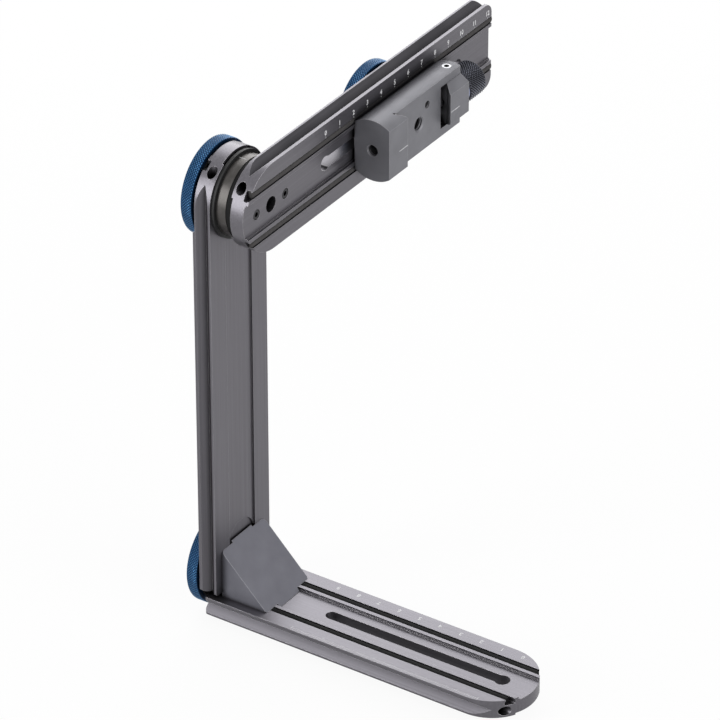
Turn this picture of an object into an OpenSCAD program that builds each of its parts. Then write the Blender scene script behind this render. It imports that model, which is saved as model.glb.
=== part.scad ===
/* [Rails] */
// Width of each rail over its dovetail edges
rail_w = 39; // [36:0.5:42]
// Thickness of each rail
rail_t = 8.3; // [7.8:0.1:9]
// Height of the flat lip between the side groove and the plain face
plain_lip_t = 0.9; // [0.8:0.1:1.3]
// Height of the flat lip between the side groove and the graded face
graded_lip_t = 1.4; // [0.9:0.1:1.6]
// Width of the shallow channel in the plain face
back_channel_w = 18.2; // [16:0.2:20]
// Depth of the shallow channel in the plain face
back_channel_d = 0.8; // [0.5:0.1:1]
// Width of the upper step of the recess in the graded face
recess_w = 15.8; // [15.4:0.1:16.6]
// Depth of the upper step of the recess
recess_d = 0.9; // [0.7:0.1:1]
// Width of the floor of the recess
recess_floor_w = 14.6; // [14.2:0.1:15]
// Full depth of the recess
recess_floor_d = 1.4; // [1.2:0.1:1.6]
// Distance between the centres of the two long grooves
groove_span = 22.2; // [21:0.1:23]
// Opening of each long groove
groove_w = 3.2; // [3:0.1:3.4]
// Width of each groove below its lips
groove_base_w = 4; // [3.6:0.1:4.2]
// Depth of each groove's lips
groove_lip_d = 0.6; // [0.5:0.05:0.8]
// Full depth of each groove
groove_d = 2.6; // [2.4:0.1:2.8]
// Crown radius of the rubber strips in the grooves
strip_crown_r = 2.8; // [2.5:0.1:3.2]
// Depth of the strips' crown below the graded face
strip_recess = 0.1; // [0.05:0.05:0.2]
// How far the strips stand out of the rails' square ends
strip_tail = 0.5; // [0:0.1:0.8]
// Corner radius at the square ends of the lower rail and the upright
corner_r = 1.6; // [1:0.1:2]
// Radius of the blind hole in each round end
end_hole_r = 2.15; // [2:0.05:2.3]
// Depth of the blind hole in each round end
end_hole_depth = 8; // [5:0.5:10]
// Height of the blind hole's centre above the plain face
end_hole_h = 3; // [2.8:0.1:3.1]
// Distance of the blind hole from the rail's centre line
end_hole_off = 12.8; // [12:0.1:13.2]
// Width of the long slots
slot_w = 5.2; // [5.1:0.1:5.6]
// Radius of the entry hole at one end of each slot
slot_entry_r = 3.3; // [3.1:0.1:3.6]

/* [Lower rail] */
// Reach of the lower rail from the upright's front face to the centre of its round end
lower_reach = 121.9; // [110:0.5:140]
// How far the lower rail runs back past the upright's front face
lower_back = 6.1; // [5:0.1:6.5]
// Place of the lower slot's inner end centre
lower_slot_start = 44.2; // [40:0.5:60]
// How far the lower slot's entry hole lies past the centre of the round end
lower_slot_over = 5.1; // [0:0.1:8]

/* [Upright] */
// Height of the tilt axis above the lower rail's top face
tilt_height = 185.1; // [175:0.1:220]
// Gap between the lower rail and the upright's square end
upright_gap = 2; // [1.5:0.1:3]
// Radius of the round pocket above the bracket's tongue
pocket_r = 9.1; // [8.6:0.1:9.4]
// Height of the pocket's centre above the lower rail's top face
pocket_h = 20.2; // [19:0.1:21]
// Depth of the pocket below the channel
pocket_d = 0.7; // [0.5:0.1:0.9]

/* [Upper rail] */
// Distance from the tilt axis to the upper rail's square end
upper_reach = 160; // [150:0.5:180]
// Corner radius at the upper rail's square end
upper_corner_r = 4.8; // [3:0.1:6]
// Place of the upper slot's entry hole
upper_slot_start = 38.5; // [38:0.1:42]
// Distance from the upper slot's far end centre to the rail's square end
upper_slot_margin = 23.6; // [15:0.1:30]
// Radius of the hole on the tilt axis
axis_hole_r = 3.4; // [3.2:0.1:3.6]
// Distance of each hub screw from the tilt axis
hub_screw_reach = 10; // [9.5:0.1:11]

/* [Foot bracket] */
// Leg of the bracket along each rail
bracket_leg = 22.2; // [21:0.1:24]
// Width of the bracket
bracket_w = 30.6; // [28:0.1:32]
// Width of the tongue and of the key
tongue_w = 14.2; // [13.6:0.1:14.4]
// Rounding of the bracket's upper corners
bracket_corner_r = 1.8; // [1:0.1:2.2]
// Rounding of the bracket's toe corners
bracket_toe_r = 0.9; // [0.6:0.1:2.2]
// Height of the foot screw above the lower rail's top face
foot_h = 8.2; // [8:0.1:9]
// Length of the foot stud inside the bracket
foot_thread_len = 9; // [7:0.5:10]
// Distance between the two bracket screws
bracket_screw_span = 9; // [8.6:0.1:9.4]
// Distance of the bracket screws from the upright's front face
bracket_screw_x = 13; // [12.5:0.1:13.5]
// Reach of the bracket screws into the bracket
bracket_screw_reach = 5; // [4:0.5:5.5]

/* [Tilt bearing] */
// Radius of the black base ring
base_ring_r = 18.6; // [18.5:0.1:19.5]
// Thickness of the black base ring
base_ring_t = 1.4; // [1.3:0.1:2.2]
// Radius of the hub
hub_r = 17.2; // [16:0.1:17.6]
// Thickness of the hub
hub_t = 4.6; // [4.5:0.1:6.6]
// Radius of the spacer behind the upper rail
spacer_r = 17; // [14:0.1:17.2]
// Thickness of the spacer
spacer_t = 3.05; // [0.8:0.05:3.2]
// Radius of the tilt axle
axle_r = 4; // [3.9:0.05:4.1]
// Width across the flats of the axle's hexagon socket
axle_socket_w = 4; // [3.5:0.1:4.5]
// Depth of the axle's hexagon socket
axle_socket_d = 3; // [2.5:0.1:3.5]
// Radius of each base ring screw's shank
ring_screw_r = 1.2; // [1:0.1:1.3]
// Distance of each base ring screw from the tilt axis
ring_screw_reach = 13.5; // [13:0.1:14]
// Radius of the seat that the tilt knob has in the upright's back
tilt_seat_r = 22.3; // [20.5:0.1:22.6]
// Depth of the seat that the tilt knob has in the upright's back
tilt_seat_d = 0.9; // [0.8:0.1:1.4]

/* [Knobs] */
// Radius of each large knob
knob_r = 20.7; // [19.5:0.1:21]
// Width of each large knob's grip
knob_w = 5; // [4.8:0.1:5.2]
// Bevel on the rims of the large knobs
knob_bevel = 0.3; // [0.2:0.05:0.5]
// Radius of the core inside each large knob
core_r = 17; // [16:0.1:17.5]
// Thickness of the core's plate
core_t = 3.2; // [3:0.1:3.4]
// Radius of the core's boss
core_boss_r = 7; // [6.6:0.1:7.4]
// Radius of the cap on each large knob
cap_r = 8.5; // [8:0.1:9]
// Thickness of the cap
cap_t = 0.5; // [0.4:0.05:0.6]
// Radius of the black washer under each large knob
washer_r = 18.4; // [17.6:0.1:18.8]
// Thickness of the black washer
washer_t = 0.8; // [0.7:0.05:0.9]
// Radius of the foot stud and the slide stud
stud_r = 3; // [2.9:0.05:3.1]
// Radius of the slide stud's neck in the slot
stud_neck_r = 2.45; // [2.3:0.05:2.5]
// Way that a large knob backs off when loosened
knob_travel = 2; // [1.5:0.1:2]

/* [Camera clamp] */
// Place of the clamp's centre screw along the upper rail
clamp_y = 85.7; // [75:0.1:95]
// Radius of the clamp's rounded body
clamp_r = 13.85; // [13.6:0.05:14.2]
// Distance from the rail's graded face to the axis of the rounded body
clamp_axis_x = 8.6; // [8.4:0.1:9]
// Distance from the rail's graded face to the clamp's floor
clamp_floor_x = 12.6; // [12.3:0.1:13]
// Height of the jaws above the clamp's floor
jaw_h = 4.2; // [4:0.1:4.4]
// Distance from the centre screw to the clamp's near end
clamp_near = 28.2; // [27.5:0.1:30]
// Distance from the centre screw to the clamp's far end
clamp_far = 30.7; // [30.4:0.1:32]
// Distance from the centre screw to the fixed jaw's lip
fixed_lip = 14.7; // [14.4:0.1:15.2]
// Opening between the two lips as shown
lip_gap = 32; // [31:0.1:33]
// Undercut of each jaw
undercut = 3.3; // [3:0.1:3.6]
// Height of the upright nose on each lip
lip_nose = 0.6; // [0.4:0.1:0.8]
// Side of the square relief groove at the root of the fixed jaw
relief_w = 0.8; // [0.6:0.1:1]
// Radius of the threaded hole in the clamp's near end
end_thread_r = 2.6; // [2.5:0.05:2.7]
// Depth of the threaded hole in the clamp's near end
end_thread_depth = 12; // [8:0.5:14]
// Radius of the clamp's small threaded hole
small_hole_r = 1.7; // [1.5:0.05:1.9]
// Depth of the clamp's small threaded hole
small_hole_depth = 6; // [4:0.5:7]
// Place of the small hole beyond the centre screw
small_hole_y = 6; // [5.8:0.1:7]
// Height of the small hole above the centre screw
small_hole_z = 6.5; // [6.2:0.1:7]
// Bevel at the mouth of the centre hole
centre_bevel = 0.5; // [0.3:0.1:0.6]

/* [Moving jaw] */
// Length of the moving jaw from lip to outer face
jaw_len = 13.6; // [13:0.1:14.4]
// Half height of the moving jaw's front face
jaw_face_half = 6.8; // [6.2:0.1:7.2]
// Half height of the moving jaw's tongue in the pocket
jaw_half = 9.6; // [9.2:0.1:9.8]
// Depth of the jaw's pocket below the clamp's floor
jaw_pocket_d = 9; // [8.5:0.1:9.4]
// Distance from the centre screw to the pocket's end wall
jaw_pocket_y = 16.1; // [15.8:0.1:16.4]
// Way that the moving jaw can open further
jaw_open = 3.5; // [3:0.1:4]
// Way that the moving jaw can close
jaw_close = 2.5; // [2:0.1:2.5]
// Radius of the jaw's spindle
spindle_r = 2.5; // [2.4:0.05:2.6]
// Length of the spindle's thread held in the body as shown
spindle_grip = 7; // [6.5:0.1:7.2]
// Radius of each guide pin
guide_r = 1; // [0.9:0.05:1.1]
// Distance of each guide pin from the spindle
guide_reach = 6.6; // [6.3:0.1:6.9]
// Length of each guide pin inside the clamp's body
guide_grip = 7; // [6:0.1:7.2]
// Wall that closes the guide pins' bores at the jaw's outer face
jaw_wall = 1; // [0.8:0.1:1.4]
// Radius of the jaw knob
jaw_knob_r = 7.8; // [7.4:0.1:8.2]
// Length of the jaw knob
jaw_knob_len = 11.6; // [11:0.1:13]
// Bevel on the rims of the jaw knob
jaw_knob_bevel = 0.6; // [0.4:0.1:0.8]
// Radius of the ring between the jaw and its knob
jaw_ring_r = 7; // [6.6:0.1:7.4]
// Thickness of the ring between the jaw and its knob
jaw_ring_t = 2.7; // [2.7:0.1:3.2]
// Radius of the pin that holds the knob on the spindle
cross_pin_r = 0.8; // [0.7:0.05:0.9]
// Radius of the set screw in the top of the clamp
set_screw_r = 2; // [1.8:0.1:2.2]
// Distance from the clamp's far end to the set screw
set_screw_y = 4.2; // [3.8:0.1:4.6]

/* [Fits] */
// Radial clearance of a shaft that turns or slides in its bore
fit_run = 0.05; // [0.03:0.01:0.08]
// Clearance between faces that slide on each other
fit_face = 0.05; // [0.05:0.01:0.1]
// Clearance of a key or tongue in its channel
fit_key = 0.1; // [0.08:0.02:0.2]
// Radial clearance of a screw in its through hole
fit_screw = 0.2; // [0.15:0.05:0.3]

/* [Hidden] */
$fn = 64;
// One overrun serves every cut
over = 1;

// Rail section
rail_r = rail_w / 2;
side_v = (rail_t - plain_lip_t - graded_lip_t) / 2;
groove_flare = (groove_base_w - groove_w) / 2;
// Where the round end's outline crosses the blind hole and the strips' outer edges
end_hole_mouth = sqrt(pow(rail_r, 2) - pow(end_hole_off, 2));
strip_start = sqrt(pow(rail_r, 2) - pow((groove_span + groove_base_w) / 2, 2)) - fit_key;

// Stack along X, from the upright's front face outwards
hub_x = base_ring_t + fit_face;
spacer_x = hub_x + hub_t;
upper_back_x = spacer_x + spacer_t;
upper_front_x = upper_back_x + rail_t;

// Heights
lower_top = rail_t;
tilt_z = lower_top + tilt_height;
foot_z = lower_top + foot_h;
pocket_z = lower_top + pocket_h;
upright_len = tilt_height - upright_gap;

// Bracket
tongue_depth = back_channel_d - fit_key;
key_depth = recess_floor_d - fit_key;
bracket_screw_r = 2;
bracket_head_r = 3.6;
bracket_head_t = 2;

// Floor of the tilt knob's seat, cut in the lands of the upright's graded face
tilt_seat_x = -rail_t + tilt_seat_d;

// Knob stack, measured away from the rail that the knob bears on
knob_face = fit_face + washer_t + fit_face;
core_end = knob_face + core_t;
knob_end = knob_face + knob_w;
stud_end = knob_end - cap_t;

// Hub screws
hub_screw_r = 1.5;
hub_head_r = 2.1;
hub_head_t = 1.6;
hub_screw_grip = 4;
ring_screw_head_r = 2.1;
ring_screw_head_t = 0.9;
ring_screw_grip = 4;

// Clamp places
clamp_x = upper_front_x + fit_face;
clamp_axis = upper_front_x + clamp_axis_x;
floor_x = upper_front_x + clamp_floor_x;
jaw_front_x = floor_x + jaw_h;
clamp_near_y = clamp_y - clamp_near;
clamp_far_y = clamp_y + clamp_far;
fixed_lip_y = clamp_y - fixed_lip;
moving_lip_y = fixed_lip_y + lip_gap;
jaw_root_y = moving_lip_y + undercut;
jaw_end_y = moving_lip_y + jaw_len;
pocket_wall_y = clamp_y + jaw_pocket_y;
pocket_floor_x = floor_x - jaw_pocket_d;
spindle_tip_y = pocket_wall_y - spindle_grip;
spindle_bore_y = spindle_tip_y - jaw_close - fit_screw;
ring_y = jaw_end_y + fit_face;
jaw_knob_y = ring_y + jaw_ring_t + fit_face;
jaw_knob_end_y = jaw_knob_y + jaw_knob_len;
guide_near_y = pocket_wall_y - guide_grip;
guide_far_y = jaw_end_y - jaw_close - jaw_wall - fit_screw;
slide_stud_tip = clamp_floor_x - stud_r;

// Flat cross-section of a rail: across on X, plain face at Y = 0
module rail_section() {
    difference() {
        translate([-rail_r, 0]) square([rail_w, rail_t]);
        for (side = [-1, 1]) {
            mirror_side(side) polygon([
                [rail_r + over, plain_lip_t - over],
                [rail_r + over, rail_t - graded_lip_t + over],
                [rail_r, rail_t - graded_lip_t],
                [rail_r - side_v, plain_lip_t + side_v],
                [rail_r, plain_lip_t]
            ]);
            translate([side * groove_span / 2, rail_t]) {
                groove_section();
                translate([-groove_w / 2, -groove_lip_d]) square([groove_w, groove_lip_d + over]);
            }
        }
        translate([-recess_w / 2, rail_t - recess_d]) square([recess_w, recess_d + over]);
        translate([-recess_floor_w / 2, rail_t - recess_floor_d]) square([recess_floor_w, recess_floor_d + over]);
        translate([-back_channel_w / 2, -over]) square([back_channel_w, back_channel_d + over]);
    }
}

module mirror_side(side) {
    if (side > 0) children();
    else mirror([1, 0]) children();
}

// Undercut groove with its mouth at Y = 0, wider below its lips
module groove_section() {
    polygon([
        [-groove_w / 2, 0],
        [groove_w / 2, 0],
        [groove_w / 2, -groove_lip_d],
        [groove_base_w / 2, -groove_lip_d - groove_flare],
        [groove_base_w / 2, -groove_d + groove_flare],
        [groove_w / 2, -groove_d],
        [-groove_w / 2, -groove_d],
        [-groove_base_w / 2, -groove_d + groove_flare],
        [-groove_base_w / 2, -groove_lip_d - groove_flare],
        [-groove_w / 2, -groove_lip_d]
    ]);
}

// Outline of a rail seen from its face: round end about the origin, square end at +X
module rail_outline(len, corner) {
    circle(rail_r, $fn = 128);
    translate([0, -rail_r]) square([len - corner, rail_w]);
    translate([0, corner - rail_r]) square([len, rail_w - 2 * corner]);
    for (side = [-1, 1]) translate([len - corner, side * (rail_r - corner)]) circle(corner);
}

// Rail along +X with its plain face at Z = 0 and its round end about the origin
module rail_blank(len, corner) {
    difference() {
        intersection() {
            translate([-rail_w, 0, 0]) rotate([90, 0, 90]) linear_extrude(len + 2 * rail_w) rail_section();
            translate([0, 0, -over]) linear_extrude(rail_t + 2 * over) rail_outline(len, corner);
        }
        // Blind hole along the rail, sunk in the round end
        translate([-rail_r, end_hole_off, end_hole_h]) rotate([0, 90, 0])
            cylinder(h = rail_r - end_hole_mouth + end_hole_depth, r = end_hole_r);
    }
}

// Rubber strips that fill both grooves of a rail of this length
module rail_strips(len) {
    for (side = [-1, 1]) translate([-strip_start, side * groove_span / 2, rail_t])
        rotate([90, 0, 90]) linear_extrude(strip_start + len + strip_tail) intersection() {
            groove_section();
            translate([0, -strip_recess - strip_crown_r]) circle(strip_crown_r);
        }
}

// Long slot through a rail, between two centres, with a wider entry hole at one of them
module rail_slot(from, to, entry) {
    translate([0, 0, -over]) {
        for (x = [from, to]) translate([x, 0, 0]) cylinder(h = rail_t + 2 * over, r = slot_w / 2);
        translate([from, -slot_w / 2, 0]) cube([to - from, slot_w, rail_t + 2 * over]);
        translate([entry, 0, 0]) cylinder(h = rail_t + 2 * over, r = slot_entry_r);
    }
}

module place_lower() {
    translate([lower_reach, 0, 0]) rotate([0, 0, 180]) children();
}

module place_upright() {
    translate([0, 0, tilt_z]) rotate([0, 90, 180]) children();
}

module place_upper() {
    translate([upper_back_x, 0, tilt_z]) rotate([90, 0, 90]) children();
}

// Cylinder or ring along +X from x0 to x1 about the line through y, z
module disc_x(x0, x1, r, y, z, hole = 0) {
    translate([x0, y, z]) rotate([0, 90, 0]) difference() {
        cylinder(h = x1 - x0, r = r);
        if (hole > 0) translate([0, 0, -over]) cylinder(h = x1 - x0 + 2 * over, r = hole);
    }
}

// Cylinder along +Y from y0 to y1 about the clamp's spindle line
module bar_y(y0, y1, r, x = clamp_axis, z = tilt_z) {
    translate([x, y0, z]) rotate([-90, 0, 0]) cylinder(h = y1 - y0, r = r);
}

// Hexagon socket pointing along +Z from the origin
module hex_socket(w, d) {
    translate([0, 0, -d]) cylinder(h = d + over, r = w / 2 / cos(30), $fn = 6);
}

module lower_rail() {
    color("lightslategray") difference() {
        place_lower() difference() {
            rail_blank(lower_reach + lower_back, corner_r);
            rail_slot(-lower_slot_over, lower_reach - lower_slot_start, -lower_slot_over);
        }
        for (side = [-1, 1]) translate([bracket_screw_x, side * bracket_screw_span / 2, 0]) {
            translate([0, 0, -over]) cylinder(h = rail_t + 2 * over, r = bracket_screw_r + fit_screw);
            translate([0, 0, -over]) cylinder(h = bracket_head_t + fit_screw + over, r = bracket_head_r + fit_screw);
        }
    }
}

module lower_strips() {
    color([0.04, 0.04, 0.04]) place_lower() rail_strips(lower_reach + lower_back);
}

module upright_strips() {
    color([0.04, 0.04, 0.04]) difference() {
        place_upright() rail_strips(upright_len);
        disc_x(-rail_t - over, tilt_seat_x, tilt_seat_r, 0, tilt_z);
    }
}

module upper_strips() {
    color([0.04, 0.04, 0.04]) place_upper() rail_strips(upper_reach);
}

module upright_rail() {
    color("dimgray") difference() {
        place_upright() rail_blank(upright_len, corner_r);
        // Pocket with a round top, open at the upright's square end
        translate([-back_channel_d - pocket_d, 0, 0]) {
            translate([0, 0, pocket_z]) rotate([0, 90, 0]) cylinder(h = back_channel_d + pocket_d + over, r = pocket_r);
            translate([0, -pocket_r, 0]) cube([back_channel_d + pocket_d + over, 2 * pocket_r, pocket_z]);
        }
        disc_x(-rail_t - over, tilt_seat_x, tilt_seat_r, 0, tilt_z);
        disc_x(-rail_t - over, over, axle_r + fit_run, 0, tilt_z);
        disc_x(-rail_t - over, over, stud_r + fit_screw, 0, foot_z);
        for (side = [-1, 1])
            disc_x(-ring_screw_grip - over, over, ring_screw_r, 0, tilt_z + side * ring_screw_reach);
    }
}

module foot_bracket() {
    color("slategray") difference() {
        intersection() {
            union() {
                bracket_block(0, bracket_w, lower_top);
                translate([-tongue_depth, -tongue_w / 2, lower_top]) cube([bracket_leg, tongue_w, bracket_leg + tongue_depth]);
                translate([0, -tongue_w / 2, lower_top - key_depth]) cube([bracket_leg + key_depth, tongue_w, bracket_leg]);
            }
            // Everything under the slanted face
            translate([0, bracket_w, lower_top]) rotate([90, 0, 0]) linear_extrude(2 * bracket_w) polygon([
                [-tongue_depth, -key_depth],
                [bracket_leg + key_depth, -key_depth],
                [bracket_leg, 0],
                [0, bracket_leg],
                [-tongue_depth, bracket_leg + tongue_depth]
            ]);
        }
        disc_x(-tongue_depth - over, foot_thread_len + fit_screw, stud_r + fit_run, 0, foot_z);
        for (side = [-1, 1]) translate([bracket_screw_x, side * bracket_screw_span / 2, lower_top - key_depth - over])
            cylinder(h = bracket_screw_reach + fit_screw + key_depth + over, r = bracket_screw_r);
    }
}

// Plain block of the bracket, its two outer corners rounded where they show
module bracket_block(x, w, z) {
    intersection() {
        translate([x, 0, z]) linear_extrude(bracket_leg) bracket_rounded(w, bracket_toe_r);
        translate([x, 0, z]) rotate([0, -90, 180]) linear_extrude(bracket_leg) bracket_rounded(w, bracket_corner_r);
    }
}

module bracket_rounded(w, r) {
    translate([0, -w / 2]) square([bracket_leg - r, w]);
    translate([0, r - w / 2]) square([bracket_leg, w - 2 * r]);
    for (side = [-1, 1]) translate([bracket_leg - r, side * (w / 2 - r)]) circle(r);
}

module bracket_screws() {
    color("silver") for (side = [-1, 1]) translate([bracket_screw_x, side * bracket_screw_span / 2, 0]) difference() {
        union() {
            translate([0, 0, fit_screw]) cylinder(h = bracket_head_t, r = bracket_head_r);
            translate([0, 0, fit_screw]) cylinder(h = lower_top + bracket_screw_reach - fit_screw, r = bracket_screw_r);
        }
        translate([0, 0, fit_screw]) rotate([180, 0, 0]) hex_socket(bracket_screw_r + fit_screw, bracket_head_t / 2);
    }
}

module tilt_base_ring() {
    color([0.08, 0.08, 0.09]) difference() {
        disc_x(0, base_ring_t, base_ring_r, 0, tilt_z, axle_r + fit_run);
        for (side = [-1, 1]) {
            disc_x(-over, base_ring_t + over, ring_screw_r + fit_screw, 0, tilt_z + side * ring_screw_reach);
            disc_x(base_ring_t - ring_screw_head_t - fit_face, base_ring_t + over, ring_screw_head_r + fit_screw,
                0, tilt_z + side * ring_screw_reach);
        }
    }
}

module base_ring_screws() {
    color("gray") for (side = [-1, 1]) {
        z = tilt_z + side * ring_screw_reach;
        disc_x(-ring_screw_grip, base_ring_t - ring_screw_head_t, ring_screw_r, 0, z);
        disc_x(base_ring_t - ring_screw_head_t - fit_face, base_ring_t - fit_face, ring_screw_head_r, 0, z);
    }
}

module upper_rail() {
    color("slategray") difference() {
        place_upper() difference() {
            rail_blank(upper_reach, upper_corner_r);
            rail_slot(upper_slot_start, upper_reach - upper_slot_margin, upper_slot_start);
        }
        disc_x(upper_back_x - over, upper_front_x + over, axis_hole_r, 0, tilt_z);
        for (side = [-1, 1]) {
            disc_x(upper_back_x - over, upper_front_x + over, hub_screw_r + fit_screw, side * hub_screw_reach, tilt_z);
            disc_x(hub_head_x() - fit_face, upper_front_x + over, hub_head_r + fit_screw, side * hub_screw_reach, tilt_z);
        }
    }
}

// Underside of the hub screws' heads
function hub_head_x() = upper_front_x - recess_floor_d - hub_head_t - fit_key;

module tilt_hub() {
    color([0.33, 0.32, 0.29]) difference() {
        disc_x(hub_x, hub_x + hub_t, hub_r, 0, tilt_z, axle_r);
        for (side = [-1, 1])
            disc_x(hub_x + hub_t - hub_screw_grip, hub_x + hub_t + over, hub_screw_r, side * hub_screw_reach, tilt_z);
    }
}

module hub_spacer() {
    color([0.05, 0.05, 0.05]) difference() {
        disc_x(spacer_x, spacer_x + spacer_t, spacer_r, 0, tilt_z, axle_r);
        for (side = [-1, 1])
            disc_x(spacer_x - over, upper_back_x + over, hub_screw_r + fit_screw, side * hub_screw_reach, tilt_z);
    }
}

module hub_screws() {
    color("gray") for (side = [-1, 1]) difference() {
        union() {
            disc_x(hub_x + hub_t - hub_screw_grip, hub_head_x() + hub_head_t, hub_screw_r, side * hub_screw_reach, tilt_z);
            disc_x(hub_head_x(), hub_head_x() + hub_head_t, hub_head_r, side * hub_screw_reach, tilt_z);
        }
        translate([hub_head_x() + hub_head_t, side * hub_screw_reach, tilt_z]) rotate([0, 90, 0])
            hex_socket(hub_screw_r + hub_screw_r / 3, hub_head_t / 2);
    }
}

module tilt_axle() {
    color("silver") difference() {
        disc_x(tilt_seat_x - stud_end, upper_back_x + back_channel_d, axle_r, 0, tilt_z);
        translate([upper_back_x + back_channel_d, 0, tilt_z]) rotate([0, 90, 0]) hex_socket(axle_socket_w, axle_socket_d);
    }
}

// Large knob parts are drawn along +Z, away from the rail face at Z = 0
module washer_part(hole) {
    translate([0, 0, fit_face]) difference() {
        cylinder(h = washer_t, r = washer_r);
        translate([0, 0, -over]) cylinder(h = washer_t + 2 * over, r = hole);
    }
}

module grip_part() {
    rotate_extrude($fn = 128) polygon([
        [core_r, knob_face],
        [knob_r - knob_bevel, knob_face],
        [knob_r, knob_face + knob_bevel],
        [knob_r, knob_end - knob_bevel],
        [knob_r - knob_bevel, knob_end],
        [core_boss_r, knob_end],
        [core_boss_r, core_end],
        [core_r, core_end]
    ]);
}

module core_part(hole) {
    difference() {
        union() {
            translate([0, 0, knob_face]) cylinder(h = core_t, r = core_r);
            translate([0, 0, knob_face]) cylinder(h = knob_w, r = core_boss_r);
        }
        translate([0, 0, knob_face - over]) cylinder(h = knob_w + 2 * over, r = hole);
    }
}

module cap_part() {
    translate([0, 0, knob_end]) cylinder(h = cap_t, r = cap_r);
}

module place_tilt_knob() {
    translate([tilt_seat_x, 0, tilt_z]) rotate([0, -90, 0]) children();
}

module place_foot_knob() {
    translate([-rail_t, 0, foot_z]) rotate([0, -90, 0]) children();
}

module place_slide_knob() {
    translate([upper_back_x, clamp_y, tilt_z]) rotate([0, -90, 0]) children();
}

module tilt_washer() {
    color([0.06, 0.06, 0.06]) place_tilt_knob() washer_part(axle_r + fit_run);
}

module tilt_knob() {
    color([0.1, 0.3, 0.5]) place_tilt_knob() grip_part();
}

module tilt_knob_core() {
    color([0.1, 0.1, 0.1]) place_tilt_knob() core_part(axle_r + fit_run);
}

module tilt_knob_cap() {
    color([0.12, 0.12, 0.12]) place_tilt_knob() cap_part();
}

module foot_washer() {
    color([0.06, 0.06, 0.06]) place_foot_knob() washer_part(stud_r + fit_run);
}

module foot_knob() {
    color([0.1, 0.3, 0.5]) place_foot_knob() grip_part();
}

module foot_knob_core() {
    color([0.1, 0.1, 0.1]) place_foot_knob() core_part(stud_r);
}

module foot_knob_cap() {
    color([0.12, 0.12, 0.12]) place_foot_knob() cap_part();
}

module foot_stud() {
    color("silver") disc_x(-rail_t - knob_end, foot_thread_len, stud_r, 0, foot_z);
}

module slide_washer() {
    color([0.06, 0.06, 0.06]) place_slide_knob() washer_part(stud_r + fit_run);
}

module slide_knob() {
    color([0.1, 0.3, 0.5]) place_slide_knob() grip_part();
}

module slide_knob_core() {
    color([0.1, 0.1, 0.1]) place_slide_knob() core_part(stud_r);
}

module slide_knob_cap() {
    color([0.12, 0.12, 0.12]) place_slide_knob() cap_part();
}

// Thick in the knob and in the clamp's thread, with a thin neck where it passes the slot
module slide_stud() {
    color("silver") {
        disc_x(upper_back_x - knob_end, upper_back_x - fit_face, stud_r, clamp_y, tilt_z);
        disc_x(upper_back_x - 2 * fit_face, clamp_x + knob_travel + fit_screw, stud_neck_r, clamp_y, tilt_z);
        disc_x(clamp_x + knob_travel + fit_screw, upper_front_x + slide_stud_tip, stud_r, clamp_y, tilt_z);
    }
}

// Round bar cut flat at the back, stepped at the front
module clamp_blank() {
    intersection() {
        bar_y(clamp_near_y, clamp_far_y, clamp_r);
        union() {
            translate([clamp_x, clamp_near_y - over, tilt_z - clamp_r])
                cube([floor_x - clamp_x, clamp_far_y - clamp_near_y + 2 * over, 2 * clamp_r]);
            translate([0, 0, tilt_z - clamp_r]) linear_extrude(2 * clamp_r) polygon([
                [floor_x - over, clamp_near_y - over],
                [jaw_front_x, clamp_near_y - over],
                [jaw_front_x, fixed_lip_y],
                [jaw_front_x - lip_nose, fixed_lip_y],
                [floor_x, fixed_lip_y - undercut],
                [floor_x - over, fixed_lip_y - undercut]
            ]);
        }
    }
}

module clamp_body() {
    color([0.42, 0.42, 0.44]) difference() {
        union() {
            clamp_blank();
            // Key that runs in the upper rail's recess
            translate([upper_front_x - key_depth, clamp_near_y + corner_r, tilt_z - recess_floor_w / 2 + fit_key])
                cube([key_depth + fit_face, clamp_far_y - clamp_near_y - 2 * corner_r, recess_floor_w - 2 * fit_key]);
        }
        // Relief groove at the root of the fixed jaw
        translate([floor_x - relief_w, fixed_lip_y - undercut - relief_w / 2, tilt_z - clamp_r - over])
            cube([relief_w + fit_face, relief_w, 2 * clamp_r + 2 * over]);
        // Pocket of the moving jaw
        translate([pocket_floor_x, pocket_wall_y, tilt_z - jaw_half - fit_key])
            cube([jaw_pocket_d + over, clamp_far_y - pocket_wall_y + over, 2 * (jaw_half + fit_key)]);
        bar_y(spindle_bore_y, pocket_wall_y + over, spindle_r + fit_run);
        // Round recess that takes the ring when the jaw closes
        bar_y(jaw_end_y - jaw_close - fit_screw, clamp_far_y + over, jaw_ring_r + fit_screw);
        for (side = [-1, 1]) bar_y(guide_near_y, pocket_wall_y + over, guide_r, clamp_axis, tilt_z + side * guide_reach);
        bar_y(clamp_near_y - over, clamp_near_y + end_thread_depth, end_thread_r);
        disc_x(upper_front_x - key_depth - over, floor_x + over, stud_r + fit_run, clamp_y, tilt_z);
        translate([floor_x - centre_bevel, clamp_y, tilt_z]) rotate([0, 90, 0])
            cylinder(h = centre_bevel + over, r1 = stud_r + fit_run, r2 = stud_r + fit_run + centre_bevel + over);
        disc_x(floor_x - small_hole_depth, floor_x + over, small_hole_r, clamp_y + small_hole_y, tilt_z + small_hole_z);
        translate([clamp_axis, clamp_far_y - set_screw_y, tilt_z]) cylinder(h = clamp_r + over, r = set_screw_r);
    }
}

module jaw_set_screw() {
    color("silver") translate([clamp_axis, clamp_far_y - set_screw_y, tilt_z]) difference() {
        translate([0, 0, jaw_half + fit_key]) cylinder(h = clamp_r - jaw_half - 2 * fit_key, r = set_screw_r);
        translate([0, 0, clamp_r - fit_key]) hex_socket(set_screw_r, set_screw_r);
    }
}

module jaw_guide_pins() {
    color("silver") for (side = [-1, 1])
        bar_y(guide_near_y, guide_far_y, guide_r, clamp_axis, tilt_z + side * guide_reach);
}

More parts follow.
